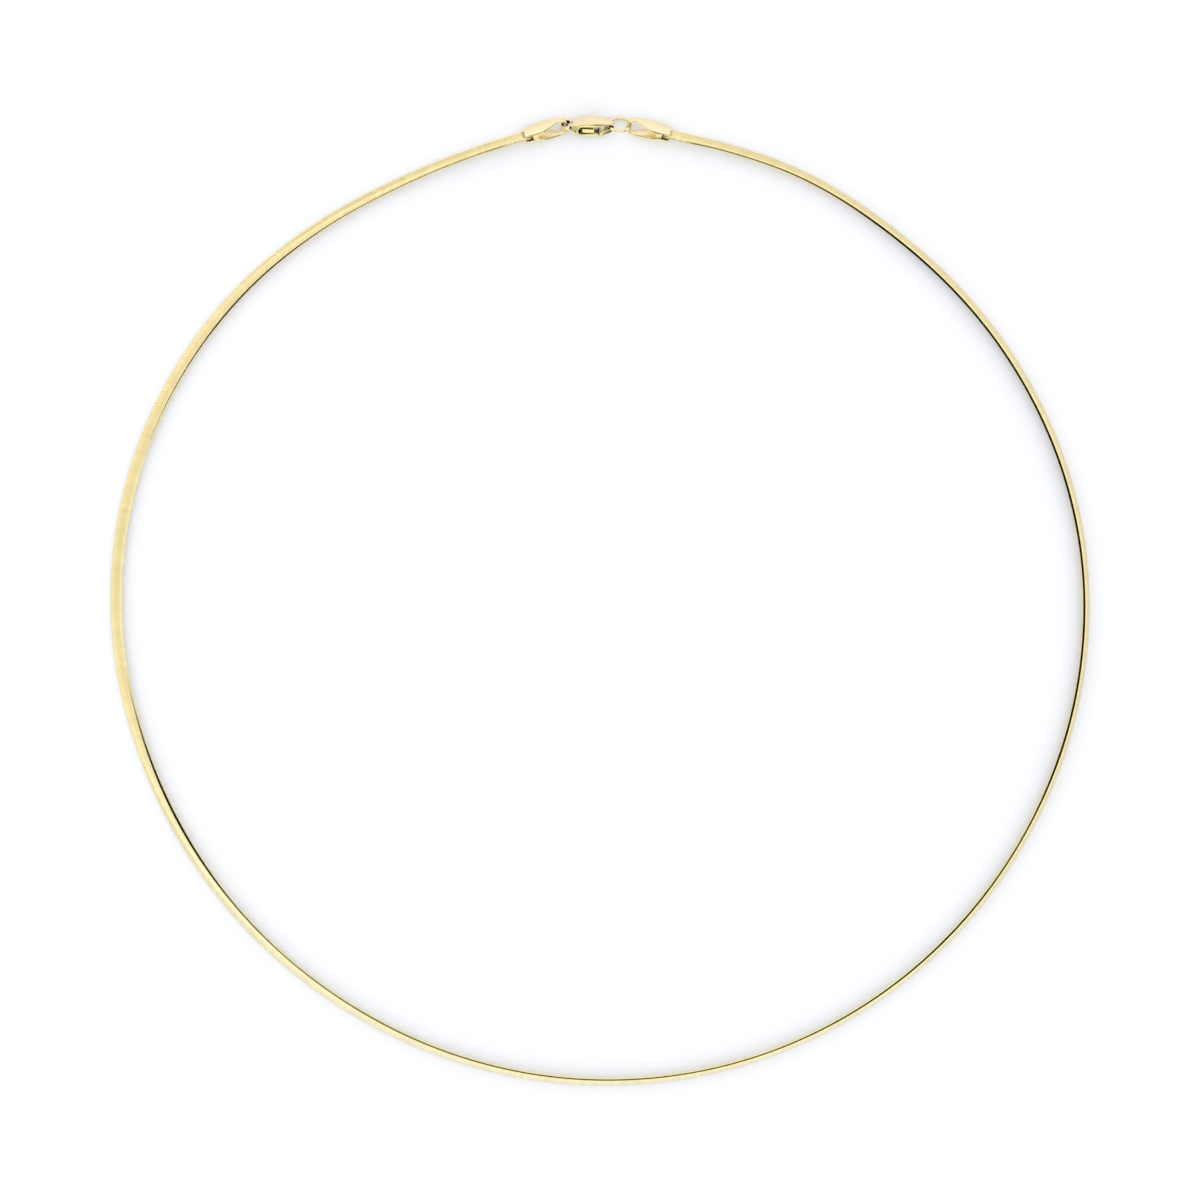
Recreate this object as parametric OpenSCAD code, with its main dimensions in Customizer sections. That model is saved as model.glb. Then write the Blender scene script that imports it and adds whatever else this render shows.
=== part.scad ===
// Herringbone chain necklace, 18 inch, with folded end caps, a lobster clasp and a jump ring.
// It lies closed on a flat surface: the band stands on its outer edge and leans inwards,
// flatter on the left and nearly upright on the right.
// Frame: origin under the middle of the loop on the surface, +Z up, +Y towards the clasp.

/* [Chain] */
// Width of the flat woven band
chain_w = 2.0; // [1.8:0.05:2.1]
// Thickness of the band
chain_t = 0.7; // [0.6:0.02:0.74]
// Corner taken off the band's long edges
chain_edge = 0.2; // [0.1:0.02:0.24]

/* [Fastening] */
// Height of the fastening's axis above the surface
fastening_z = 1.52; // [1.51:0.01:1.7]
// Distance of that axis behind the middle of the loop
fastening_y = 72.4; // [72.2:0.05:72.6]
// Lean of the end caps and the jump ring from flat
fastening_tilt = 50; // [48:1:52]
// Slack left where one piece is linked through another
link_gap = 0.2; // [0.18:0.01:0.24]

/* [End caps] */
// Length of an end cap, from the chain to the end of its fold
cap_len = 6.8; // [6.6:0.1:7.0]
// Widest place of the front leaf
leaf_w = 2.6; // [2.4:0.05:2.7]
// Widest place of the narrower back strip
strip_w = 2.2; // [2.0:0.05:2.3]
// Width of the neck that folds round the ring or the eye
neck_w = 0.9; // [0.8:0.02:0.92]
// Thickness of the folded sheet
sheet_t = 0.3; // [0.26:0.01:0.32]
// Outer height of the fold
fold_h = 2.8; // [2.6:0.05:2.9]

/* [Clasp] */
// Length of the clasp over its eye and its nose
clasp_len = 8.1; // [8.0:0.05:8.2]
// Height of the claw over its back and its lever
claw_h = 3.24; // [3.1:0.02:3.3]
// Thickness of the claw at its middle
claw_t = 2.0; // [1.8:0.05:2.1]
// Angle that the lever swings in from shut
lever_open = 0; // [0:1:18]

/* [Jump ring] */
// Outer diameter of the jump ring
ring_d = 3.8; // [3.7:0.02:3.84]
// Diameter of its wire
ring_wire = 0.42; // [0.36:0.02:0.44]

/* [Hidden] */
$fn = 48;
gold = [0.93, 0.80, 0.50];
pale_gold = [0.96, 0.86, 0.62];
eps = 0.01;

// How far a cutting shape reaches past what it cuts
spare = 1;

// Where the pieces stand along the fastening's axis, in X. The cap needs a little more slack in
// the clasp's eye than round the ring, because it lies in the eye at an angle.
ring_x = 3.05;
clasp_x = -5.92;
ring_r = (ring_d - ring_wire) / 2;
eye_wall = 0.45;
eye_slack = 0.1;
clasp_cap_x = clasp_x + eye_wall + link_gap + eye_slack + sheet_t;
ring_cap_x = ring_x + ring_r - ring_wire / 2 - link_gap - sheet_t;
clasp_cap_heading = 15;
ring_cap_heading = -13;

// The chain's end lies in the cap's mouth between its two leaves, and solder fills the rest.
// The band runs straight for a little way out of the mouth before it takes up its curve.
crimp_gap = 0.05;
crimp_len = 1.15;
solder_end = 2.0;
straight_end = 0.2;
mouth_r = chain_t / 2 + crimp_gap + sheet_t;

// Middle line of the band by bearing, counted from +X over +Y. The columns are the bearing,
// the radius from the route's centre, the lean from flat, and the lift off the surface, because
// the caps and the clasp are thicker than the band and raise its ends.
route_centre_y = -0.4;
ROUTE = [
    [102.0, 71.52, 50, 0.54],
    [108.0, 71.00, 50, 0.26],
    [116.0, 70.80, 47, 0.04],
    [125.0, 71.27, 43, 0],
    [140.0, 72.42, 36, 0],
    [160.0, 73.40, 30, 0],
    [180.0, 73.58, 30, 0],
    [200.0, 73.00, 38, 0],
    [215.0, 72.70, 46, 0],
    [235.0, 72.45, 53, 0],
    [250.0, 72.55, 60, 0],
    [270.0, 72.88, 67, 0],
    [290.0, 73.28, 71, 0],
    [310.0, 73.58, 73, 0],
    [330.0, 73.80, 73, 0],
    [350.0, 74.02, 71, 0],
    [370.0, 73.80, 68, 0],
    [390.0, 72.86, 65, 0],
    [410.0, 71.93, 62, 0],
    [425.0, 71.98, 57, 0.02],
    [432.0, 71.84, 53, 0.2],
    [438.5, 71.83, 50, 0.52]
];
rows = len(ROUTE);
stations = 176;

// Smooth curve through the table's rows (a cubic whose slopes come from the neighbours)
function slope(i, c) =
    let(a = max(i - 1, 0), b = min(i + 1, rows - 1))
    (ROUTE[b][c] - ROUTE[a][c]) / (ROUTE[b][0] - ROUTE[a][0]);
function span_of(bearing, i = 0) =
    i >= rows - 2 || bearing <= ROUTE[i + 1][0] ? i : span_of(bearing, i + 1);
function along(bearing, c) =
    let(
        i = span_of(bearing),
        run = ROUTE[i + 1][0] - ROUTE[i][0],
        u = (bearing - ROUTE[i][0]) / run
    )
    (2 * u * u * u - 3 * u * u + 1) * ROUTE[i][c]
    + (u * u * u - 2 * u * u + u) * run * slope(i, c)
    + (3 * u * u - 2 * u * u * u) * ROUTE[i + 1][c]
    + (u * u * u - u * u) * run * slope(i + 1, c);

// Cross-section of the band: a flat bar with its four corners taken off, across and up
SECTION = [
    [chain_w / 2, chain_t / 2 - chain_edge],
    [chain_w / 2 - chain_edge, chain_t / 2],
    [chain_edge - chain_w / 2, chain_t / 2],
    [-chain_w / 2, chain_t / 2 - chain_edge],
    [-chain_w / 2, chain_edge - chain_t / 2],
    [chain_edge - chain_w / 2, -chain_t / 2],
    [chain_w / 2 - chain_edge, -chain_t / 2],
    [chain_w / 2, chain_edge - chain_t / 2]
];
corners = len(SECTION);

// A station of the band is its place, the bearing that it faces outwards, and its lean
function resting_z(tilt) = max([for (p = SECTION) p[0] * sin(tilt) - p[1] * cos(tilt)]);
function station(bearing) =
    let(r = along(bearing, 1), tilt = along(bearing, 2))
    [
        [r * cos(bearing), r * sin(bearing) + route_centre_y,
         resting_z(tilt) + max(0, along(bearing, 3))],
        bearing,
        tilt
    ];
function cap_station(fold_x, side, heading, s) =
    [
        [fold_x + side * s * cos(heading), fastening_y + side * s * sin(heading), fastening_z],
        heading + 90,
        fastening_tilt
    ];
STATIONS = concat(
    [cap_station(clasp_cap_x, -1, clasp_cap_heading, cap_len - crimp_len + crimp_gap),
     cap_station(clasp_cap_x, -1, clasp_cap_heading, cap_len + straight_end)],
    [for (i = [0 : stations])
        station(ROUTE[0][0] + (ROUTE[rows - 1][0] - ROUTE[0][0]) * i / stations)],
    [cap_station(ring_cap_x, 1, ring_cap_heading + 360, cap_len + straight_end),
     cap_station(ring_cap_x, 1, ring_cap_heading + 360, cap_len - crimp_len + crimp_gap)]
);

// The band leans so that its outer edge is low and its face looks up and outwards
function on_section(st, p) =
    let(
        out = p[0] * cos(st[2]) + p[1] * sin(st[2]),
        up = p[1] * cos(st[2]) - p[0] * sin(st[2])
    )
    st[0] + [out * cos(st[1]), out * sin(st[1]), up];

module chain() {
    last = len(STATIONS) - 1;
    points = [for (st = STATIONS) for (p = SECTION) on_section(st, p)];
    skin = [
        for (i = [0 : last - 1]) for (k = [0 : corners - 1])
            let(a = i * corners + k, b = i * corners + (k + 1) % corners)
            each [[a, b, b + corners], [a, b + corners, a + corners]]
    ];
    near_end = [[for (k = [corners - 1 : -1 : 0]) k]];
    far_end = [[for (k = [0 : corners - 1]) last * corners + k]];
    color(gold) polyhedron(points = points, faces = concat(skin, near_end, far_end));
}

// Outline of a belt laid round the circles [x, y, radius], which are visited counter-clockwise.
// A row of circles is visited there and back, and a radius of 0 is a sharp corner.
belt_step = 9;
function outward(a, b) =
    let(run = norm([b[0] - a[0], b[1] - a[1]]))
    atan2(b[1] - a[1], b[0] - a[0]) - acos((a[2] - b[2]) / run);
function belt(circles) =
    let(n = len(circles))
    [
        for (i = [0 : n - 1])
            let(
                c = circles[i],
                from = outward(circles[(i + n - 1) % n], c),
                turn = ((outward(c, circles[(i + 1) % n]) - from) % 360 + 360) % 360,
                steps = c[2] == 0 ? 1 : max(1, ceil(turn / belt_step))
            )
            for (k = [0 : steps - (c[2] == 0 ? 1 : 0)])
                [c[0], c[1]] + c[2] * [cos(from + turn * k / steps), sin(from + turn * k / steps)]
    ];

// Outline of a leaf seen from its face: a neck at the fold, a full middle, and the chain's width
module leaf_outline(middle_w) {
    full = [2.75, 0, middle_w / 2];
    neck = [cap_len - 1.6, 0, neck_w / 2];
    corner = chain_w / 2;
    union() {
        polygon(belt([[0, -corner, 0], full, neck, full, [0, corner, 0]]));
        translate([full[0], -neck_w / 2]) square([cap_len + spare - full[0], neck_w]);
    }
}

// The folded strip from the side: a drop, open inside, that closes on the end of the chain.
// Its own X runs from the chain to the fold, and its leaves are spread across Y.
module cap_profile() {
    fold = [cap_len - fold_h / 2, 0, fold_h / 2];
    inside = fold - [0, 0, sheet_t];
    gap_r = mouth_r - sheet_t;
    difference() {
        polygon(belt([[0, -mouth_r, 0], [crimp_len, -mouth_r, 0], fold,
                      [crimp_len, mouth_r, 0], [0, mouth_r, 0]]));
        polygon(belt([[solder_end, -gap_r, 0], inside, [solder_end, gap_r, 0]]));
        translate([-spare, -gap_r]) square([spare + crimp_len, 2 * gap_r]);
    }
}

module end_cap() {
    intersection() {
        rotate([90, 0, 0]) linear_extrude(height = 2 * leaf_w, center = true) cap_profile();
        union() {
            linear_extrude(height = fold_h) leaf_outline(leaf_w);
            translate([0, 0, -fold_h]) linear_extrude(height = fold_h) leaf_outline(strip_w);
        }
    }
}

// Puts a cap, drawn flat with its fold's end at the origin, in its place in the fastening
module cap_place(fold_x, heading) {
    translate([fold_x, fastening_y, fastening_z]) rotate([0, 0, heading])
        rotate([-fastening_tilt, 0, 0]) children();
}

module end_cap_clasp_side() {
    color(pale_gold) cap_place(clasp_cap_x, clasp_cap_heading)
        translate([-cap_len, 0, 0]) end_cap();
}

module end_cap_ring_side() {
    color(pale_gold) cap_place(ring_cap_x, ring_cap_heading)
        translate([cap_len, 0, 0]) mirror([1, 0, 0]) end_cap();
}

// The clasp is drawn with X from its eye to its nose, Y from the lever to the back, and Z
// across its thickness. It stands on edge in the band's plane, so the ring can hang in its hook.
// The claw hangs a little below the middle of its eye and of the ring.
clasp_tilt = 48;
claw_drop = [0, -0.17, 0.155];
claw_tail = [2.2, -0.06, 0.78];
claw_mid = [4.7, 0, claw_h / 2];
widest_x = 4.4;
nose_r = 0.95;
claw_nose = [clasp_len - nose_r, 0, nose_r];
back_wall = 1.17;
hook_wall = 0.33;
hollow_nose_r = 0.36;
hollow_nose = [clasp_len - hook_wall - hollow_nose_r, 0.22, hollow_nose_r];
hollow_tail_r = 0.78;
hollow_tail = [3.4, claw_h / 2 - back_wall - hollow_tail_r, hollow_tail_r];

// Lever: its pivot, how far its tip reaches, and the clearances round it. A web lies behind the
// window in the claw's side, and a broader flange closes the claw's open edge.
pivot = [2.1, -0.35];
pin_r = 0.18;
pin_bore_r = 0.2;
lever_bore_r = 0.22;
lever_reach = 3.75;
lever_gap = 0.08;
knuckle_r = 0.36;
beam_x = 3.05;
tongue_t = 0.76;
web_t = 1.2;
web_end = [4.85, -0.43, 0.2];
web_foot = [4.85, -1.05, 0.2];
web_heel = [3.42, -1.05, 0.2];
flange_t = 1.7;
flange_top = 0.96;
pocket_gap = 0.1;
pocket = [[3.3, 0.1, 0.66], [5.0, 0.1, 0.66]];
fork_t = tongue_t + 0.1;
fork_top = 0.62;
open_edge = 0.05;

module claw_outline() {
    polygon(belt([claw_tail, claw_mid, claw_nose, claw_mid]));
}

// Space that the lever needs: the open side of the claw, out to just past the lever's tip
module lever_space() {
    intersection() {
        translate(pivot) circle(lever_reach + lever_gap, $fn = 96);
        translate([beam_x - lever_gap, -claw_h])
            square([lever_reach + spare, claw_h - open_edge]);
    }
}

// The claw from the side, hollow, and open where the lever closes it
module claw_plan() {
    difference() {
        claw_outline();
        polygon(belt([hollow_tail, hollow_nose]));
        lever_space();
    }
}

// Bevels the long edges of what it is given, and narrows it to an almond across its thickness
module rounded_claw() {
    nose_t = 1.0;
    drop = (claw_t - nose_t) / 2;
    run = clasp_len - widest_x;
    almond_r = (run * run + drop * drop) / (2 * drop);
    bevel = 0.47;
    reach = (claw_h + claw_t) / 2 - bevel;
    intersection() {
        children();
        rotate([90, 0, 0]) linear_extrude(height = 2 * claw_h, center = true) intersection() {
            translate([widest_x, almond_r - claw_t / 2]) circle(almond_r, $fn = 96);
            translate([widest_x, claw_t / 2 - almond_r]) circle(almond_r, $fn = 96);
        }
        rotate([45, 0, 0]) cube([3 * clasp_len, reach * sqrt(2), reach * sqrt(2)], center = true);
    }
}

// Closed eye at the tail, turned flat so that the folded cap can pass through it
module eye() {
    eye_h = 0.6;
    hole = [0.85, 1.25];
    hole_r = 0.25;
    outer_r = 0.6;
    outer_w = hole[1] + 2 * eye_wall;
    shank_w = 1.5;
    shank_x = eye_wall + hole[0];
    rotate([90, 0, 0]) linear_extrude(height = eye_h, center = true) difference() {
        union() {
            for (side = [-1, 1])
                translate([outer_r, side * (outer_w / 2 - outer_r)]) circle(outer_r);
            translate([0, outer_r - outer_w / 2]) square([outer_r, outer_w - 2 * outer_r]);
            translate([outer_r, -outer_w / 2]) square([shank_x - outer_r, outer_w]);
            translate([shank_x - eps, -shank_w / 2]) square([claw_tail[0] - shank_x, shank_w]);
        }
        for (side = [-1, 1], end = [hole_r, hole[0] - hole_r])
            translate([eye_wall + end, side * (hole[1] / 2 - hole_r)]) circle(hole_r);
        translate([eye_wall + hole_r, -hole[1] / 2]) square([hole[0] - 2 * hole_r, hole[1]]);
        translate([eye_wall, hole_r - hole[1] / 2]) square([hole[0], hole[1] - 2 * hole_r]);
    }
}

module claw() {
    difference() {
        union() {
            eye();
            translate(claw_drop) rounded_claw()
                linear_extrude(height = 2 * claw_t, center = true) claw_plan();
        }
        translate(claw_drop) {
            linear_extrude(height = fork_t, center = true) {
                translate(pivot) circle(knuckle_r + lever_gap);
                translate(pivot - [0, claw_h]) square([beam_x - pivot[0], claw_h + fork_top]);
                translate(pivot - [knuckle_r + lever_gap, claw_h])
                    square([knuckle_r + lever_gap + eps, claw_h]);
            }
            linear_extrude(height = web_t + 2 * pocket_gap, center = true) polygon(belt(pocket));
            translate([pivot[0], pivot[1], -claw_t]) cylinder(h = 2 * claw_t, r = pin_bore_r);
        }
    }
}

module lever_outline() {
    tab = [3.34, -1.36];
    tab_r = 0.28;
    intersection() {
        translate(pivot) circle(lever_reach, $fn = 96);
        union() {
            translate(tab) circle(tab_r);
            intersection() {
                claw_outline();
                translate([beam_x, -claw_h]) square([lever_reach, claw_h - flange_top]);
            }
        }
    }
}

// The web tapers from the knuckle to its end, and reaches down into the flange
module web_outline() {
    polygon(belt([[pivot[0], pivot[1], knuckle_r], web_heel, web_foot, web_end]));
}

module lever() {
    difference() {
        union() {
            rounded_claw() linear_extrude(height = flange_t, center = true) lever_outline();
            linear_extrude(height = tongue_t, center = true) web_outline();
            linear_extrude(height = web_t, center = true) intersection() {
                web_outline();
                translate([beam_x + lever_gap, -claw_h]) square([lever_reach, 2 * claw_h]);
            }
        }
        translate([pivot[0], pivot[1], -claw_t]) cylinder(h = 2 * claw_t, r = lever_bore_r);
    }
}

module clasp_place() {
    translate([clasp_x, fastening_y, fastening_z]) rotate([90 - clasp_tilt, 0, 0]) children();
}

module clasp_body() {
    color(pale_gold) clasp_place() claw();
}

module clasp_lever() {
    color(gold) clasp_place() translate(claw_drop) translate([pivot[0], pivot[1], 0]) rotate([0, 0, lever_open])
        translate([-pivot[0], -pivot[1], 0]) lever();
}

module lever_pin() {
    pin_len = 1.56;
    color(gold) clasp_place() translate(claw_drop) translate([pivot[0], pivot[1], -pin_len / 2])
        cylinder(h = pin_len, r = pin_r);
}

module jump_ring() {
    color(gold) translate([ring_x, fastening_y, fastening_z]) rotate([-fastening_tilt, 0, 0])
        rotate_extrude($fn = 64) translate([ring_r, 0]) circle(ring_wire / 2, $fn = 24);
}

chain();
end_cap_clasp_side();
end_cap_ring_side();
clasp_body();
clasp_lever();
lever_pin();
jump_ring();
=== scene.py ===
import math
import random
import bmesh
import bpy
import numpy as np
from mathutils import Matrix, Vector
from mathutils.bvhtree import BVHTree


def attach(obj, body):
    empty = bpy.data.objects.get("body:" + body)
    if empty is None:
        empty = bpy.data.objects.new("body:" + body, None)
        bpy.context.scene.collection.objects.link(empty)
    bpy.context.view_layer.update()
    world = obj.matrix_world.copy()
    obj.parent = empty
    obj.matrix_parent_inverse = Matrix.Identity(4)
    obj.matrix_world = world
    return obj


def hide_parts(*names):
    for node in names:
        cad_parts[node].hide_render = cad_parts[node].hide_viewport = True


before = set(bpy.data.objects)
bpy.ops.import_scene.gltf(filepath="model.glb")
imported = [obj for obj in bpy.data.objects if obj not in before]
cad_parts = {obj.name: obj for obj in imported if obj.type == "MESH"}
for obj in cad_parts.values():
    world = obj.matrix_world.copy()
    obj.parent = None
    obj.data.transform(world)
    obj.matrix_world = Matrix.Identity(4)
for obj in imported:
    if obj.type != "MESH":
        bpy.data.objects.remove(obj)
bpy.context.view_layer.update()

# Woven chain. Every link is a flattened loop of gold wire: a V across the front, round both
# edges, and a V across the back. The links lie against each other, so that their fronts make
# two rows of slanted strips. The band is rolled flat and polished, and it can only bend slowly.
MM = 0.001
chain_half_w = 1.0 * MM
chain_half_t = 0.35 * MM
link_pitch = 0.356 * MM
link_slant = 0.45 * MM
strip_half_w = 0.171 * MM
strip_inside = 0.05 * MM
strip_shoulder = 0.035 * MM

# Route of the band: bearing from +X over +Y in degrees, radius in millimetres from the route's
# centre, lean from flat in degrees, and lift off the surface in millimetres.
route_centre_y = -0.4
RADIUS, LEAN, LIFT = 1, 2, 3
ROUTE = [
    (102.0, 71.52, 50, 0.54), (108.0, 71.00, 50, 0.26), (116.0, 70.80, 47, 0.04),
    (125.0, 71.27, 43, 0), (140.0, 72.42, 36, 0), (160.0, 73.40, 30, 0),
    (180.0, 73.58, 30, 0), (200.0, 73.00, 38, 0), (215.0, 72.70, 46, 0),
    (235.0, 72.45, 53, 0), (250.0, 72.55, 60, 0), (270.0, 72.88, 67, 0),
    (290.0, 73.28, 71, 0), (310.0, 73.58, 73, 0), (330.0, 73.80, 73, 0),
    (350.0, 74.02, 71, 0), (370.0, 73.80, 68, 0), (390.0, 72.86, 65, 0),
    (410.0, 71.93, 62, 0), (425.0, 71.98, 57, 0.02), (432.0, 71.84, 53, 0.2),
    (438.5, 71.83, 50, 0.52),
]
route_steps = 700
cap_len = 6.8
cap_tilt = 50
fastening_y = 72.4
fastening_z = 1.52
clasp_cap_x = -4.87
clasp_cap_heading = 15
ring_cap_x = 4.03
ring_cap_heading = -13
chain_end_in_cap = 5.7


def along_route(bearing, column):
    """Smooth value of one of the table's columns at a bearing."""
    i = next(k for k in range(len(ROUTE) - 1) if bearing <= ROUTE[k + 1][0] + 1e-9)
    def slope(k):
        low, high = ROUTE[max(k - 1, 0)], ROUTE[min(k + 1, len(ROUTE) - 1)]
        return (high[column] - low[column]) / (high[0] - low[0])
    run = ROUTE[i + 1][0] - ROUTE[i][0]
    u = (bearing - ROUTE[i][0]) / run
    start, end = ROUTE[i][column], ROUTE[i + 1][column]
    return ((2 * u**3 - 3 * u**2 + 1) * start + (u**3 - 2 * u**2 + u) * run * slope(i)
            + (3 * u**2 - 2 * u**3) * end + (u**3 - u**2) * run * slope(i + 1))


def resting_height(tilt):
    """Height of the band's middle when its lower edge, with the corner off, is on the surface."""
    lean = math.radians(tilt)
    corners = ((1.0, -0.15), (0.8, -0.35))
    return max(across * math.sin(lean) - up * math.cos(lean) for across, up in corners)


def polar_station(bearing):
    """Place, heading and lean of the band at a bearing."""
    turn = math.radians(bearing)
    radius, tilt = along_route(bearing, RADIUS), along_route(bearing, LEAN)
    height = resting_height(tilt) + max(0, along_route(bearing, LIFT))
    place = Vector((radius * math.cos(turn), radius * math.sin(turn) + route_centre_y, height))
    return place * MM, turn, math.radians(tilt)


def cap_station(fold_x, side, heading, distance):
    """The same at a distance from a cap's fold, where the band follows the cap."""
    turn = math.radians(heading)
    place = Vector((fold_x + side * distance * math.cos(turn),
                    fastening_y + side * distance * math.sin(turn), fastening_z))
    return place * MM, turn + math.pi / 2, math.radians(cap_tilt)


past_cap = cap_len + 0.2
STATIONS = [cap_station(clasp_cap_x, -1, clasp_cap_heading, distance)
            for distance in (chain_end_in_cap, past_cap)]
STATIONS += [polar_station(ROUTE[0][0] + (ROUTE[-1][0] - ROUTE[0][0]) * k / route_steps)
             for k in range(route_steps + 1)]
STATIONS += [cap_station(ring_cap_x, 1, ring_cap_heading + 360, distance)
             for distance in (past_cap, chain_end_in_cap)]
STARTS = [0.0]
for before, after in zip(STATIONS, STATIONS[1:]):
    STARTS.append(STARTS[-1] + (after[0] - before[0]).length)
route_len = STARTS[-1]


def place_on_chain(distance):
    """Matrix that puts X along the chain, Y across to its outer edge and Z out of its face."""
    k = next(i for i in range(int(distance / route_len * (len(STARTS) - 2)), -1, -1)
             if STARTS[i] <= distance)
    while k < len(STARTS) - 2 and STARTS[k + 1] < distance:
        k += 1
    share = (distance - STARTS[k]) / (STARTS[k + 1] - STARTS[k])
    here, there = STATIONS[k], STATIONS[k + 1]
    turn = here[1] + (there[1] - here[1]) * share
    tilt = here[2] + (there[2] - here[2]) * share
    run = (there[0] - here[0]).normalized()
    across = Vector((math.cos(tilt) * math.cos(turn), math.cos(tilt) * math.sin(turn), -math.sin(tilt)))
    across = (across - across.dot(run) * run).normalized()
    face = across.cross(run).normalized()
    if face.z < 0:
        face.negate()
    turned = Matrix((run, across, face)).transposed().to_4x4()
    return Matrix.Translation(here[0].lerp(there[0], share)) @ turned


def new_mesh_object(bm, name, smooth=True):
    """Object in the scene with the built mesh, at the origin."""
    mesh = bpy.data.meshes.new(name)
    bm.to_mesh(mesh)
    bm.free()
    for face in mesh.polygons:
        face.use_smooth = smooth
    made = bpy.data.objects.new(name, mesh)
    bpy.context.scene.collection.objects.link(made)
    return made


def link_loop():
    """One link with its front's point at the origin's side of the chain, as a closed ring."""
    bm = bmesh.new()
    top = chain_half_t
    shoulder_w = 0.9 * strip_shoulder
    profile = [
        (-strip_half_w, top - strip_shoulder), (shoulder_w - strip_half_w, top),
        (strip_half_w - shoulder_w, top), (strip_half_w, top - strip_shoulder),
        (0, strip_inside),
    ]
    arm = chain_half_w - chain_half_t
    start = bm.faces.new([bm.verts.new((x, 0, z)) for x, z in profile])
    grown = bmesh.ops.extrude_face_region(bm, geom=[start])["geom"]
    tip = [g for g in grown if isinstance(g, bmesh.types.BMVert)]
    bmesh.ops.translate(bm, verts=tip, vec=(link_slant, arm, 0))
    end = [g for g in grown if isinstance(g, bmesh.types.BMFace)]
    spun = bmesh.ops.spin(bm, geom=end, cent=(0, arm, 0), axis=(1, 0, 0), angle=-math.pi, steps=6)
    last = [g for g in spun["geom_last"] if isinstance(g, bmesh.types.BMFace)]
    grown = bmesh.ops.extrude_face_region(bm, geom=last)["geom"]
    tip = [g for g in grown if isinstance(g, bmesh.types.BMVert)]
    bmesh.ops.translate(bm, verts=tip, vec=(link_slant, -arm, 0))
    back = [g for g in grown if isinstance(g, bmesh.types.BMFace)]
    inside = [f for f in [start, *end, *last, *back] if f.is_valid]
    bmesh.ops.delete(bm, geom=inside, context="FACES_ONLY")
    # Round the chain's edge the strip narrows a little, so that the links part there
    for degrees, width in ((30, 0.99), (60, 0.97), (90, 0.94)):
        row = [v for v in bm.verts if v.co.y > arm and abs(
            math.degrees(math.atan2(v.co.y - arm, abs(v.co.z))) - degrees) < 5]
        bmesh.ops.scale(bm, verts=row, vec=(width, 1, 1), space=Matrix.Translation((-link_slant, 0, 0)))
    bmesh.ops.mirror(bm, geom=bm.verts[:] + bm.edges[:] + bm.faces[:], axis="Y", merge_dist=1e-6)
    bmesh.ops.remove_doubles(bm, verts=bm.verts, dist=1e-6)
    bmesh.ops.recalc_face_normals(bm, faces=bm.faces)
    return bm


def joined_copies(bm, name, places):
    """One mesh that holds a copy of the link at each place, and a shade of its own for each."""
    bm.verts.index_update()
    corners = np.array([v.co for v in bm.verts])
    loops = [[v.index for v in f.verts] for f in bm.faces]
    bm.free()
    past_arm = np.maximum(np.abs(corners[:, 1]) - (chain_half_w - chain_half_t), 0)
    outwards = np.hypot(past_arm, corners[:, 2])
    # depth: how deep a point lies in the gaps between links, where the material paints shade
    depth = (chain_half_t - outwards) / (chain_half_t - strip_inside)
    # edge: how far out on the rounded edge a point lies, where the material paints a highlight
    edge = np.clip(past_arm / (0.6 * chain_half_t), 0, 1)
    # Direction and width of the loop for the painted sheen on its -Y side.
    sheen_dir_x, sheen_dir_y, loop_width = 0.10, 0.99, 148 * MM
    points, faces, shades, depths, sheen_sides, edges = [], [], [], [], [], []
    for k, place in enumerate(places):
        turned = np.array(place)
        points.append(corners @ turned[:3, :3].T + turned[:3, 3])
        faces += [[v + k * len(corners) for v in loop] for loop in loops]
        shades += [random.random()] * len(corners)
        depths.append(depth)
        edges.append(edge)
        middle = place.translation
        sheen_sides += [0.5 - (sheen_dir_x * middle.x + sheen_dir_y * middle.y) / loop_width] * len(corners)
    mesh = bpy.data.meshes.new(name)
    mesh.from_pydata(np.concatenate(points), [], faces)
    mesh.polygons.foreach_set("use_smooth", [True] * len(faces))
    for attribute, values in (("link_shade", shades), ("gap_depth", np.concatenate(depths)),
                              ("painted_sheen_side", sheen_sides), ("edge_share", np.concatenate(edges))):
        mesh.attributes.new(attribute, "FLOAT", "POINT").data.foreach_set("value", values)
    mesh.set_sharp_from_angle(angle=math.radians(38))
    made = bpy.data.objects.new(name, mesh)
    bpy.context.scene.collection.objects.link(made)
    return made


random.seed(11)
solder_len = 2.5 * MM
room = route_len - 2 * solder_len
link_count = int(room / link_pitch)
places = [place_on_chain(solder_len + (k + 0.5) * room / link_count) for k in range(link_count)]
chain_links = joined_copies(link_loop(), "chain_links", places)


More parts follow.
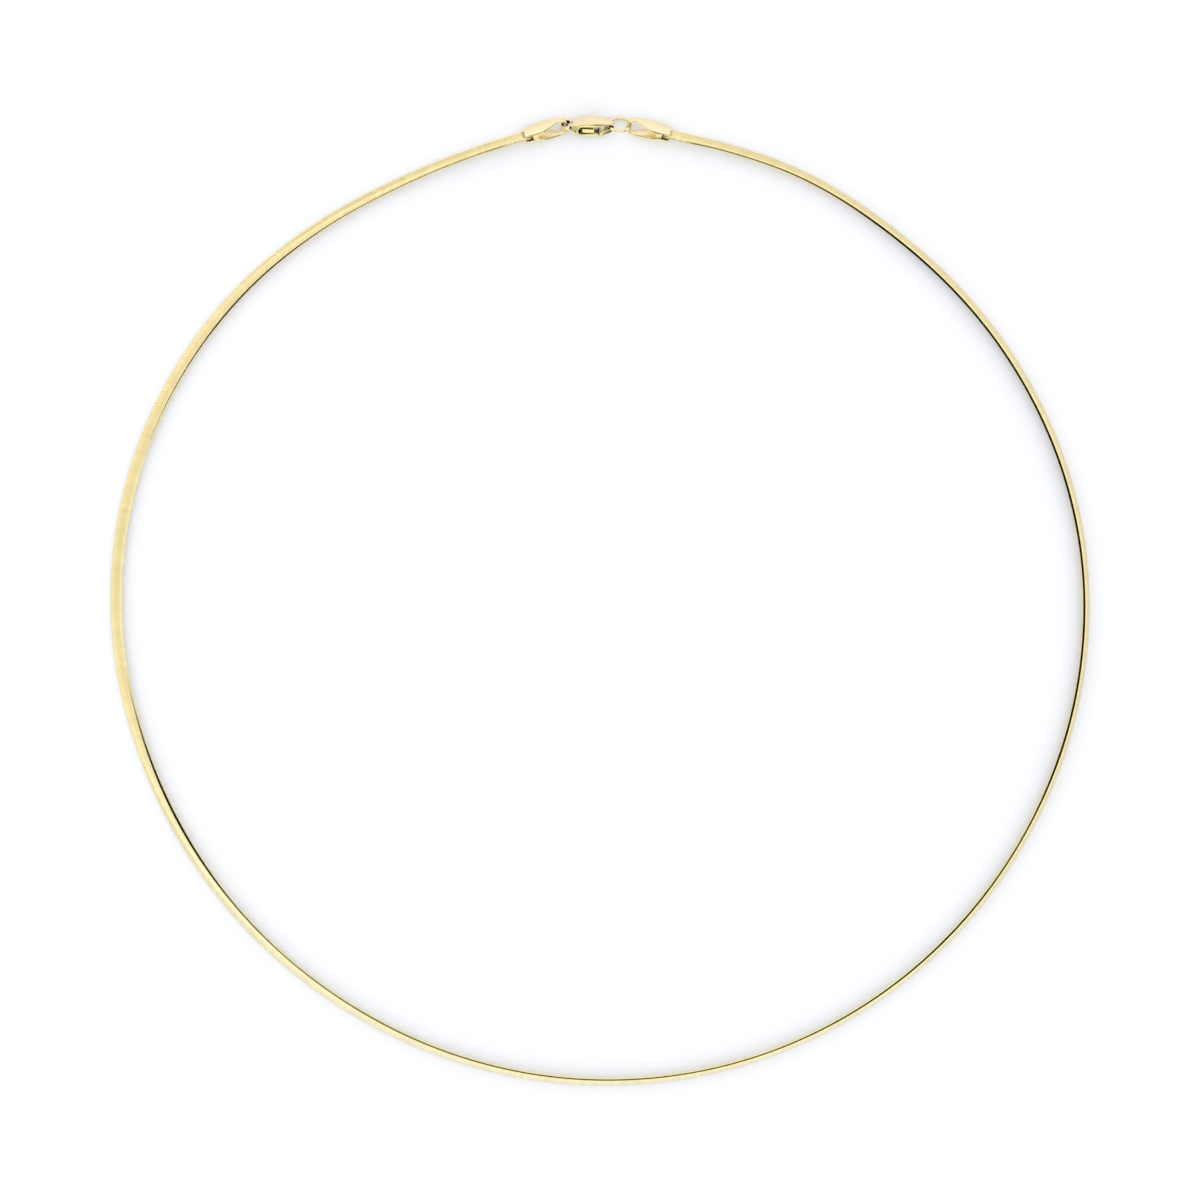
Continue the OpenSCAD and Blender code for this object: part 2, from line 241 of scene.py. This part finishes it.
def solder_end(name, start, end):
    """The chain's end where solder has filled the links: a smooth flat bar along the route."""
    bm = bmesh.new()
    half_w, half_t, corner = chain_half_w - 0.03 * MM, chain_half_t - 0.015 * MM, 0.2 * MM
    outline = [(half_w - corner, half_t), (half_w, half_t - corner), (half_w, corner - half_t),
               (half_w - corner, -half_t)]
    outline += [(-across, -up) for across, up in outline]
    section = bm.faces.new([bm.verts.new((0, across, up)) for across, up in outline])
    steps = 8
    bmesh.ops.transform(bm, verts=bm.verts, matrix=place_on_chain(start))
    for k in range(steps):
        here = place_on_chain(start + (end - start) * k / steps)
        there = place_on_chain(start + (end - start) * (k + 1) / steps)
        grown = bmesh.ops.extrude_face_region(bm, geom=[section])["geom"]
        moved = [g for g in grown if isinstance(g, bmesh.types.BMVert)]
        bmesh.ops.transform(bm, verts=moved, matrix=there @ here.inverted())
        if k:
            bmesh.ops.delete(bm, geom=[section], context="FACES_ONLY")
        section = next(g for g in grown if isinstance(g, bmesh.types.BMFace))
    bmesh.ops.recalc_face_normals(bm, faces=bm.faces)
    rim = [e for e in bm.edges if len(e.link_faces) == 2 and e.calc_face_angle() > math.radians(30)]
    bmesh.ops.bevel(bm, geom=rim, offset=0.05 * MM, offset_type="OFFSET", affect="EDGES", segments=2,
                    profile=0.5, material=-1, clamp_overlap=True)
    return new_mesh_object(bm, name)


overlap = 0.5 * MM
solder_ends = [
    solder_end("solder_end_clasp_side", 0.0, solder_len + overlap),
    solder_end("solder_end_ring_side", route_len - solder_len - overlap, route_len),
]


def shader(material):
    """The material's Principled shader."""
    return material.node_tree.nodes["Principled BSDF"]


def gold_group():
    """Colour, roughness and bump of polished gold: a slow change of tone and fine wear marks."""
    group = bpy.data.node_groups.new("gold_surface", "ShaderNodeTree")
    put = group.interface.new_socket
    for socket in ("Colour", "Deep Colour"):
        put(socket, in_out="INPUT", socket_type="NodeSocketColor")
    for socket in ("Change", "Tone Scale", "Grain Scale", "Low Roughness", "High Roughness",
                   "Grain Depth"):
        put(socket, in_out="INPUT", socket_type="NodeSocketFloat")
    put("Colour", in_out="OUTPUT", socket_type="NodeSocketColor")
    put("Roughness", in_out="OUTPUT", socket_type="NodeSocketFloat")
    put("Normal", in_out="OUTPUT", socket_type="NodeSocketVector")
    nodes, links = group.nodes, group.links
    given = nodes.new("NodeGroupInput")
    result = nodes.new("NodeGroupOutput")
    place = nodes.new("ShaderNodeTexCoord")
    tones = nodes.new("ShaderNodeTexNoise")
    grain = nodes.new("ShaderNodeTexNoise")
    grain.inputs["Detail"].default_value = 4
    links.new(place.outputs["Object"], tones.inputs["Vector"])
    links.new(place.outputs["Object"], grain.inputs["Vector"])
    links.new(given.outputs["Tone Scale"], tones.inputs["Scale"])
    links.new(given.outputs["Grain Scale"], grain.inputs["Scale"])
    share = nodes.new("ShaderNodeMath")
    share.operation = "MULTIPLY"
    links.new(tones.outputs["Fac"], share.inputs[0])
    links.new(given.outputs["Change"], share.inputs[1])
    mix = nodes.new("ShaderNodeMix")
    mix.data_type = "RGBA"
    links.new(share.outputs[0], mix.inputs["Factor"])
    links.new(given.outputs["Colour"], mix.inputs["A"])
    links.new(given.outputs["Deep Colour"], mix.inputs["B"])
    links.new(mix.outputs["Result"], result.inputs["Colour"])
    spread = nodes.new("ShaderNodeMapRange")
    links.new(grain.outputs["Fac"], spread.inputs["Value"])
    spread.inputs["From Min"].default_value = 0.3
    spread.inputs["From Max"].default_value = 0.7
    links.new(given.outputs["Low Roughness"], spread.inputs["To Min"])
    links.new(given.outputs["High Roughness"], spread.inputs["To Max"])
    links.new(spread.outputs["Result"], result.inputs["Roughness"])
    bump = nodes.new("ShaderNodeBump")
    bump.inputs["Distance"].default_value = 0.02 * MM
    links.new(given.outputs["Grain Depth"], bump.inputs["Strength"])
    links.new(grain.outputs["Fac"], bump.inputs["Height"])
    links.new(bump.outputs["Normal"], result.inputs["Normal"])
    return group


gold_surface = gold_group()


def surface_node(material, colour, deep, change, low_rough, high_rough, grain_depth):
    """A use of the shared surface group with its own values."""
    surface = material.node_tree.nodes.new("ShaderNodeGroup")
    surface.node_tree = gold_surface
    given = {"Colour": (*colour, 1), "Deep Colour": (*deep, 1), "Change": change, "Tone Scale": 300,
             "Grain Scale": 9000, "Low Roughness": low_rough, "High Roughness": high_rough,
             "Grain Depth": grain_depth}
    for socket, value in given.items():
        surface.inputs[socket].default_value = value
    return surface


def gold(name, *values):
    """A gold finish, made of the shared surface group."""
    material = bpy.data.materials.new(name)
    material.use_nodes = True
    links = material.node_tree.links
    bsdf = shader(material)
    bsdf.inputs["Metallic"].default_value = 1.0
    surface = surface_node(material, *values)
    links.new(surface.outputs["Colour"], bsdf.inputs["Base Color"])
    links.new(surface.outputs["Roughness"], bsdf.inputs["Roughness"])
    links.new(surface.outputs["Normal"], bsdf.inputs["Normal"])
    return material


def mark(material, name):
    """Socket with the value that the mesh holds under a name."""
    node = material.node_tree.nodes.new("ShaderNodeAttribute")
    node.attribute_name = name
    return node.outputs["Fac"]


def mapped(material, value, start, end, new_start, new_end, kind="LINEAR"):
    """Socket with a value mapped from one range to another, held at its ends."""
    node = material.node_tree.nodes.new("ShaderNodeMapRange")
    node.interpolation_type = kind
    material.node_tree.links.new(value, node.inputs["Value"])
    node.inputs["From Min"].default_value = start
    node.inputs["From Max"].default_value = end
    node.inputs["To Min"].default_value = new_start
    node.inputs["To Max"].default_value = new_end
    return node.outputs["Result"]


def mixed(material, share, first, second):
    """Colour socket that goes from one colour to a second one by a share."""
    node = material.node_tree.nodes.new("ShaderNodeMix")
    node.data_type = "RGBA"
    material.node_tree.links.new(share, node.inputs["Factor"])
    material.node_tree.links.new(first, node.inputs["A"])
    if isinstance(second, tuple):
        node.inputs["B"].default_value = (*second, 1)
    else:
        material.node_tree.links.new(second, node.inputs["B"])
    return node.outputs["Result"]


def scale_base_colour(material, colour, factor):
    """Give the shader a colour times a factor."""
    node = material.node_tree.nodes.new("ShaderNodeVectorMath")
    node.operation = "SCALE"
    material.node_tree.links.new(colour, node.inputs[0])
    material.node_tree.links.new(factor, node.inputs["Scale"])
    material.node_tree.links.new(node.outputs["Vector"], shader(material).inputs["Base Color"])


def between_links(material):
    """Paint shade into the gaps between the links, a highlight on the band's edges and a sheen on the
    loop's -Y side, and part each link's tone.
    """
    surface = shader(material).inputs["Base Color"].links[0].from_socket
    tone = mapped(material, mark(material, "link_shade"), 0, 1, 0.94, 1.03)
    # Painted shade: the base colour darkens down into the gaps between the links.
    painted_shade = mapped(material, mark(material, "gap_depth"), 0.17, 0.70, 1.0, 0.25)
    both = material.node_tree.nodes.new("ShaderNodeMath")
    both.operation = "MULTIPLY"
    material.node_tree.links.new(tone, both.inputs[0])
    material.node_tree.links.new(painted_shade, both.inputs[1])
    # Painted sheen: the band's base colour turns paler towards the loop's -Y side.
    ease = mapped(material, mark(material, "painted_sheen_side"), 0.62, 0.95, 0, 1, "SMOOTHSTEP")
    sheen_painted = mixed(material, ease, surface, painted_sheen_colour)
    # Painted highlight: the band's rounded edges take a lighter, yellower base colour.
    painted_edge_highlight = mixed(material, mark(material, "edge_share"), sheen_painted, chain_edge)
    scale_base_colour(material, painted_edge_highlight, both.outputs[0])


chain_colours = ((0.88, 0.74, 0.39), (0.82, 0.65, 0.30))
# Paler colour of the band on the loop's -Y side: a painted sheen.
painted_sheen_colour = (0.96, 0.86, 0.55)
# Lighter, yellower colour of the band's edges: a painted highlight on the chain.
chain_edge = (0.95, 0.85, 0.45)
chain_gold = gold("chain_gold", *chain_colours, 0.6, 0.07, 0.15, 0.06)
between_links(chain_gold)
chain_links.data.materials.append(chain_gold)
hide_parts("chain")
for piece in (chain_links, *solder_ends):
    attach(piece, "necklace")


# End caps: one strip of gold sheet each, folded double through the clasp's eye or the jump ring
# and soldered on the chain. The broad front leaf is brushed satin, and its rim, the narrower
# back leaf and the fold are polished.
def finished_copy(node, name, edge_r, sharp_from):
    """Merged copy of a solid with its sharp edges rounded, in place of that solid."""
    bm = bmesh.new()
    bm.from_mesh(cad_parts[node].data)
    bmesh.ops.remove_doubles(bm, verts=bm.verts, dist=1e-7)
    bmesh.ops.dissolve_limit(bm, angle_limit=math.radians(0.5), verts=bm.verts, edges=bm.edges)
    sharp = [e for e in bm.edges
             if len(e.link_faces) == 2 and e.calc_face_angle() > math.radians(sharp_from)]
    bmesh.ops.bevel(bm, geom=sharp, offset=edge_r, offset_type="OFFSET", affect="EDGES", segments=2,
                    profile=0.5, material=-1, clamp_overlap=True)
    bmesh.ops.recalc_face_normals(bm, faces=bm.faces)
    piece = new_mesh_object(bm, name)
    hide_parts(node)
    return piece


def mark_satin(piece, facing, least, most):
    """Mark how satin each point is: full where its normal is close to one direction."""
    towards = np.array(Vector(facing).normalized())
    normals = np.zeros(3 * len(piece.data.vertices))
    piece.data.vertex_normals.foreach_get("vector", normals)
    share = np.clip((normals.reshape(-1, 3) @ towards - least) / (most - least), 0, 1)
    piece.data.attributes.new("satin_share", "FLOAT", "POINT").data.foreach_set("value", share)


def mark_recesses(pieces, reach, rays):
    """Mark how closed in each point is, from how many rays out of it end within a short reach."""
    off_surface, blur_steps = 0.01 * MM, 6
    starts = np.cumsum([0] + [len(piece.data.vertices) for piece in pieces])
    walls = BVHTree.FromPolygons(
        [v.co for piece in pieces for v in piece.data.vertices],
        [[k + first for k in face.vertices]
         for piece, first in zip(pieces, starts) for face in piece.data.polygons])
    fan = [Vector((random.gauss(0, 1), random.gauss(0, 1), random.gauss(0, 1))).normalized()
           for _ in range(rays)]
    for piece in pieces:
        closed = []
        for v in piece.data.vertices:
            start = v.co + v.normal * off_surface
            hits = sum(walls.ray_cast(start, ray if ray.dot(v.normal) > 0 else -ray, reach)[0] is not None
                       for ray in fan)
            closed.append(hits / rays)
        closed = np.array(closed)
        ends = np.array([edge.vertices[:] for edge in piece.data.edges])
        for _ in range(blur_steps):
            total, count = closed.copy(), np.ones(len(closed))
            for here, there in (ends.T, ends.T[::-1]):
                np.add.at(total, here, closed[there])
                np.add.at(count, here, 1)
            closed = total / count
        piece.data.attributes.new("closed_in", "FLOAT", "POINT").data.foreach_set("value", closed)


def fitting_gold(name, satin_colours, bright_colour, polished_rough, satin_rough, grain_depth):
    """Gold that is satin where the piece is marked so, with painted shade darkening its colour in
    recesses.
    """
    material = gold(name, *satin_colours, 0.5, *satin_rough, grain_depth)
    links = material.node_tree.links
    bsdf = shader(material)
    satin = mark(material, "satin_share")
    deep_bright = tuple(0.93 * part for part in bright_colour)
    polished = surface_node(material, bright_colour, deep_bright, 1.0, polished_rough,
                            1.4 * polished_rough, 0.0)
    finish = material.node_tree.nodes.new("ShaderNodeMix")
    links.new(satin, finish.inputs["Factor"])
    links.new(polished.outputs["Roughness"], finish.inputs["A"])
    links.new(bsdf.inputs["Roughness"].links[0].from_socket, finish.inputs["B"])
    links.new(finish.outputs["Result"], bsdf.inputs["Roughness"])
    brushed = bsdf.inputs["Normal"].links[0].from_node
    links.new(mapped(material, satin, 0, 1, 0.02, grain_depth), brushed.inputs["Grain Depth"])
    tint = mixed(material, satin, polished.outputs["Colour"],
                 bsdf.inputs["Base Color"].links[0].from_socket)
    # Painted shade: the base colour darkens where a point is closed in.
    painted_shade = mapped(material, mark(material, "closed_in"), 0.21, 0.51, 1.0, 0.04)
    scale_base_colour(material, tint, painted_shade)
    return material


satin_colours = ((0.95, 0.79, 0.50), (0.91, 0.74, 0.42))
bright_colour = (0.96, 0.81, 0.37)
cap_gold = fitting_gold("cap_gold", satin_colours, bright_colour, 0.12, (0.30, 0.42), 0.35)
cap_on_clasp = finished_copy("end_cap_clasp_side", "cap_on_clasp", 0.05 * MM, 32)
cap_on_ring = finished_copy("end_cap_ring_side", "cap_on_ring", 0.05 * MM, 32)
cap_face = (0, math.sin(math.radians(cap_tilt)), math.cos(math.radians(cap_tilt)))
for piece in (cap_on_clasp, cap_on_ring):
    mark_satin(piece, cap_face, 0.86, 0.93)
    piece.data.materials.append(cap_gold)
    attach(piece, "necklace")

# Lobster clasp: the claw and its tail eye are one casting, tumbled and polished, with a satin
# back. The lever is a second casting, on a rivet through the fork, with a spring hidden inside.
claw_tilt = 42
claw_back = (0, math.cos(math.radians(claw_tilt)), math.sin(math.radians(claw_tilt)))
claw_axis = Vector((0, fastening_y * MM, fastening_z * MM))
to_mould = (Matrix.Scale(1000, 4) @ Matrix.Rotation(math.radians(90 - claw_tilt), 4, "X")
            @ Matrix.Translation(-claw_axis))
nowhere, everywhere = (2, 3), (-3, -2)


def cast_copy(node, name, grain_mm, soften, spine_soften):
    """Copy of a solid, remeshed square to the claw and softened as a casting, most on its back."""
    bm = bmesh.new()
    bm.from_mesh(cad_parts[node].data)
    bmesh.ops.remove_doubles(bm, verts=bm.verts, dist=1e-7)
    bmesh.ops.transform(bm, matrix=to_mould, verts=bm.verts)
    rough = new_mesh_object(bm, name + "_rough")
    remesh = rough.modifiers.new("remesh", "REMESH")
    remesh.mode = "VOXEL"
    remesh.voxel_size = grain_mm
    even = bpy.data.meshes.new_from_object(rough.evaluated_get(bpy.context.evaluated_depsgraph_get()))
    bpy.data.objects.remove(rough)
    piece = bpy.data.objects.new(name, even)
    bpy.context.scene.collection.objects.link(piece)
    back = piece.vertex_groups.new(name="back")
    spine_from, spine_fade = 0.50, 0.35
    for v in even.vertices:
        back.add([v.index], min(1, max(0, (v.co.z - spine_from) / spine_fade)), "REPLACE")
    for steps, group in ((soften, ""), (spine_soften, "back")):
        smooth = piece.modifiers.new("soften", "SMOOTH")
        smooth.iterations = steps
        smooth.vertex_group = group
    cast = bpy.data.meshes.new_from_object(piece.evaluated_get(bpy.context.evaluated_depsgraph_get()))
    cast.transform(to_mould.inverted())
    cast.polygons.foreach_set("use_smooth", [True] * len(cast.polygons))
    cast.name = name
    piece.modifiers.clear()
    piece.vertex_groups.clear()
    piece.data = cast
    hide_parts(node)
    return piece


spine_colours = ((0.89, 0.74, 0.47), (0.85, 0.69, 0.40))
claw_gold = fitting_gold("claw_gold", spine_colours, bright_colour, 0.10, (0.30, 0.42), 0.35)
lever_gold = fitting_gold("lever_gold", satin_colours, bright_colour, 0.08, (0.30, 0.42), 0.15)
claw = cast_copy("clasp_body", "claw", 0.042, 14, 240)
lever = cast_copy("clasp_lever", "lever", 0.03, 12, 0)
rivet = finished_copy("lever_pin", "rivet", 0.03 * MM, 32)
mark_satin(claw, claw_back, 0.35, 0.60)
mark_satin(lever, claw_back, *nowhere)
mark_satin(rivet, claw_back, *nowhere)
wire_ring = finished_copy("jump_ring", "wire_ring", 0.01 * MM, 60)
mark_satin(wire_ring, claw_back, *nowhere)
solder_gold = fitting_gold("solder_gold", chain_colours, chain_edge, 0.16, (0.16, 0.28), 0.25)
for piece in solder_ends:
    mark_satin(piece, claw_back, *everywhere)
    piece.data.materials.append(solder_gold)
# Painted shade mask: how closed in each point of the fittings is, which their materials darken.
mark_recesses([claw, lever, rivet, cap_on_clasp, cap_on_ring, wire_ring, *solder_ends], 1.2 * MM, 32)
for piece, material, slot_name, body in ((claw, claw_gold, "clasp_gold", "necklace"),
                                         (lever, lever_gold, "lever_gold", "lever"),
                                         (rivet, lever_gold, "lever_gold", "necklace")):
    piece.data.materials.append(material)
    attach(piece, body)

# Jump ring: round gold wire, bent to a circle, soldered shut and polished bright. The cap's
# folded strip holds it for good, and the claw hooks into it. Where the wire passes through the
# fold and the claw, its base colour is darkened as painted shade.
ring_gold = fitting_gold("ring_gold", satin_colours, (0.91, 0.78, 0.46), 0.07, (0.30, 0.42), 0.10)
wire_ring.data.materials.append(ring_gold)
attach(wire_ring, "necklace")

# Studio: a white table in a white tent, with the camera straight overhead. Three curved dark
# cards hang inside the loop, close to it, and give its polished inner edge the dark line.
frame_width = 182.8 * MM
camera_height = 1.25
camera_y = 0.06 * MM
camera_data = bpy.data.cameras.new("overhead_camera")
camera_data.sensor_width = 36
camera_data.lens = camera_data.sensor_width * camera_height / frame_width
camera_data.dof.use_dof = False
camera = bpy.data.objects.new("overhead_camera", camera_data)
camera.location = (0, camera_y, camera_height)
bpy.context.scene.collection.objects.link(camera)
bpy.context.scene.camera = camera

floor_half = 3.0
bm = bmesh.new()
bmesh.ops.create_grid(bm, x_segments=1, y_segments=1, size=floor_half)
table_top = new_mesh_object(bm, "table_top", smooth=False)
table_white = bpy.data.materials.new("table_white")
table_white.use_nodes = True
shader(table_white).inputs["Base Color"].default_value = (0.93, 0.93, 0.93, 1)
shader(table_white).inputs["Roughness"].default_value = 0.9
shader(table_white).inputs["Specular IOR Level"].default_value = 0.0
table_top.data.materials.append(table_white)

tent = bpy.data.worlds.new("tent")
tent.use_nodes = True
sky = tent.node_tree.nodes["Background"]
sky.inputs["Color"].default_value = (0.965, 0.985, 1.04, 1)
direction = tent.node_tree.nodes.new("ShaderNodeTexCoord")
split = tent.node_tree.nodes.new("ShaderNodeSeparateXYZ")
rise = tent.node_tree.nodes.new("ShaderNodeMapRange")
rise.inputs["From Min"].default_value = 0.0
rise.inputs["From Max"].default_value = 0.45
rise.inputs["To Min"].default_value = 1.45
rise.inputs["To Max"].default_value = 1.13
tent.node_tree.links.new(direction.outputs["Generated"], split.inputs[0])
tent.node_tree.links.new(split.outputs["Z"], rise.inputs["Value"])
tent.node_tree.links.new(rise.outputs["Result"], sky.inputs["Strength"])
bpy.context.scene.world = tent
bpy.context.scene.view_settings.view_transform = "Standard"

card_paint = bpy.data.materials.new("card_paint")
card_paint.use_nodes = True
card_tone = card_paint.node_tree.nodes.new("ShaderNodeAttribute")
card_tone.attribute_name = "card_tone"
card_paint.node_tree.links.new(card_tone.outputs["Color"], shader(card_paint).inputs["Base Color"])
shader(card_paint).inputs["Specular IOR Level"].default_value = 0.0


def dark_card(name, rows):
    """A card bent round the band: bearing, highest and lowest angle off upright, and tone.

    Seen from the band's top, it is a fixed gap away, and below that it lies on the table.
    """
    bearings, highest, lowest, tones = np.array(rows).T
    band_top, off_table, card_gap = 2.0, 0.1, 20
    first_bearing, last_bearing = 102, 438
    warm_grey = Vector((1, 0.86, 0.7, 0))
    columns = int((bearings[-1] - bearings[0]) / 2)
    bm = bmesh.new()
    bmesh.ops.create_grid(bm, x_segments=columns, y_segments=24, size=0.5)
    tone_layer = bm.verts.layers.float_color.new("card_tone")
    for v in bm.verts:
        bearing = bearings[0] + (bearings[-1] - bearings[0]) * (v.co.x + 0.5)
        high, low = np.interp(bearing, bearings, highest), np.interp(bearing, bearings, lowest)
        down = math.radians(high + (low - high) * (v.co.y + 0.5))
        turn = math.radians(bearing)
        gap = min(card_gap, (band_top - off_table) / max(-math.cos(down), 0.01))
        on_route = min(max(bearing, first_bearing), last_bearing)
        reach = along_route(on_route, RADIUS) - gap * math.sin(down)
        v[tone_layer] = warm_grey * np.interp(bearing, bearings, tones)
        height = band_top + gap * math.cos(down)
        v.co = Vector((reach * math.cos(turn), reach * math.sin(turn), height)) * MM
    card = new_mesh_object(bm, name, smooth=False)
    card.data.materials.append(card_paint)
    card.visible_camera = False
    card.visible_diffuse = False
    card.visible_shadow = False


dark_card("dark_card_upper_left", [
    (102, 0, 60, 0.35), (122, 0, 66, 0.42), (128, 0, 68, 0.25), (133, -10, 76, 0.03),
    (144, -14, 78, 0.02), (149, 0, 70, 0.08), (156, 0, 55, 0.3), (164, 0, 5, 0.4),
])
dark_card("dark_card_right", [
    (188, 0, 5, 0.3), (194, -8, 58, 0.1), (198, -26, 74, 0.02), (203, -40, 82, 0),
    (208, -40, 84, 0), (214, -30, 80, 0), (220, -12, 62, 0.09), (228, -8, 50, 0.12),
    (240, -10, 58, 0.08), (290, -10, 55, 0.05), (302, -14, 70, 0.03), (316, -16, 80, 0),
    (330, -10, 72, 0.03), (341, -30, 95, 0), (350, -32, 92, 0), (362, -32, 90, 0),
    (372, -6, 138, 0), (390, 6, 135, 0), (406, 6, 142, 0), (414, 0, 125, 0), (422, -8, 80, 0.06),
    (428, -6, 60, 0.15), (438, -4, 60, 0.2),
])
dark_card("dark_card_clasp", [
    (76, 56, 76, 0.15), (89, 56, 76, 0.15), (91, 56, 67, 0.2), (97, 56, 67, 0.2),
    (99, 56, 76, 0.15), (104, 56, 76, 0.15),
])
